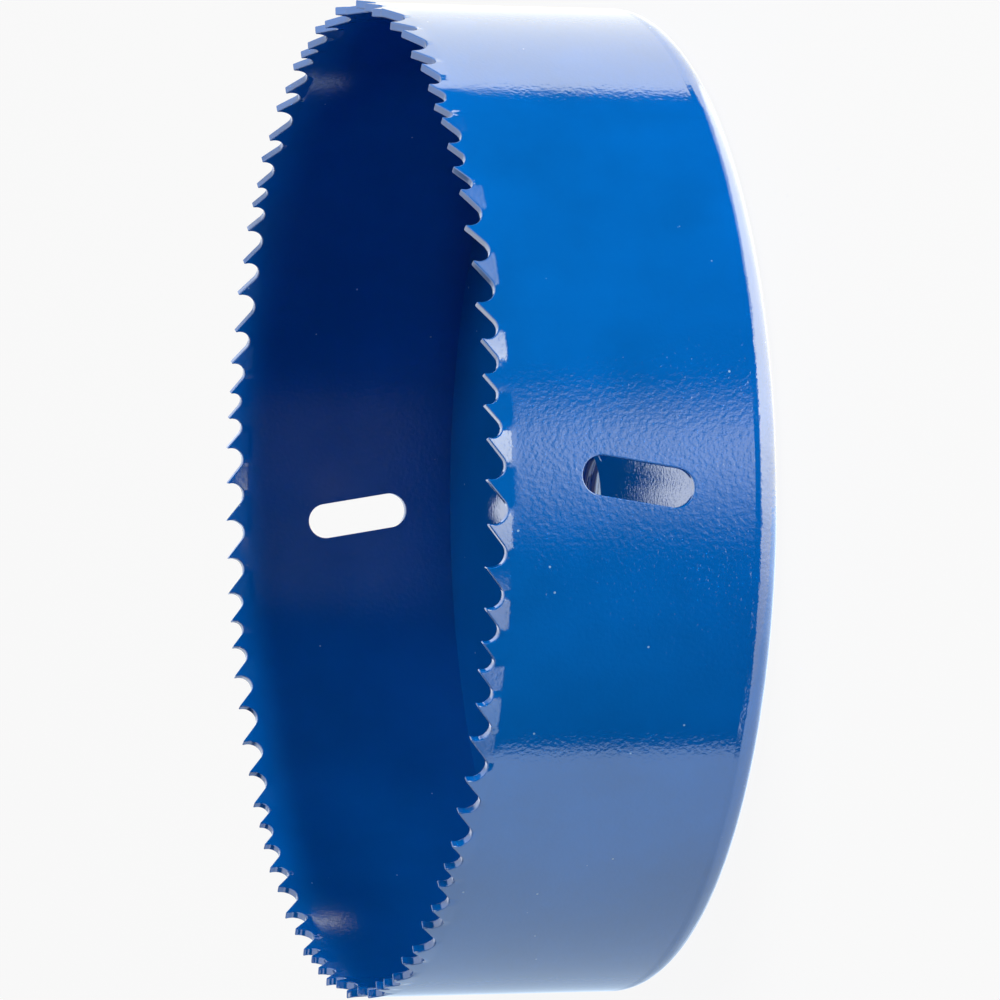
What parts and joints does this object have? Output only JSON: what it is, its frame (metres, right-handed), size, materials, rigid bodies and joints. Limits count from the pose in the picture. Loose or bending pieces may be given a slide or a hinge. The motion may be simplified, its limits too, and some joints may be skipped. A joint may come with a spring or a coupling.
{
  "type": "hole saw",
  "caption": "Large shallow cup-type hole saw: thin ring with set, variable pitch teeth, slanted slots, and a flat back plate with a threaded arbor hole and drive pin holes.",
  "frame": {"origin": "centre of the back plate's outer face, where the saw meets its arbor", "axes": "+Z along the saw's axis from the back plate towards the teeth; the two slots lie at -Y and +Y"},
  "size_m": [0.1526, 0.1526, 0.044],
  "materials": {
    "blue_paint": "gloss enamel with light orange peel"
  },
  "bodies": {
    "root": {"saw_band": "blue_paint", "back_plate": "blue_paint", "rim_weld": "blue_paint"}
  },
  "joints": []
}
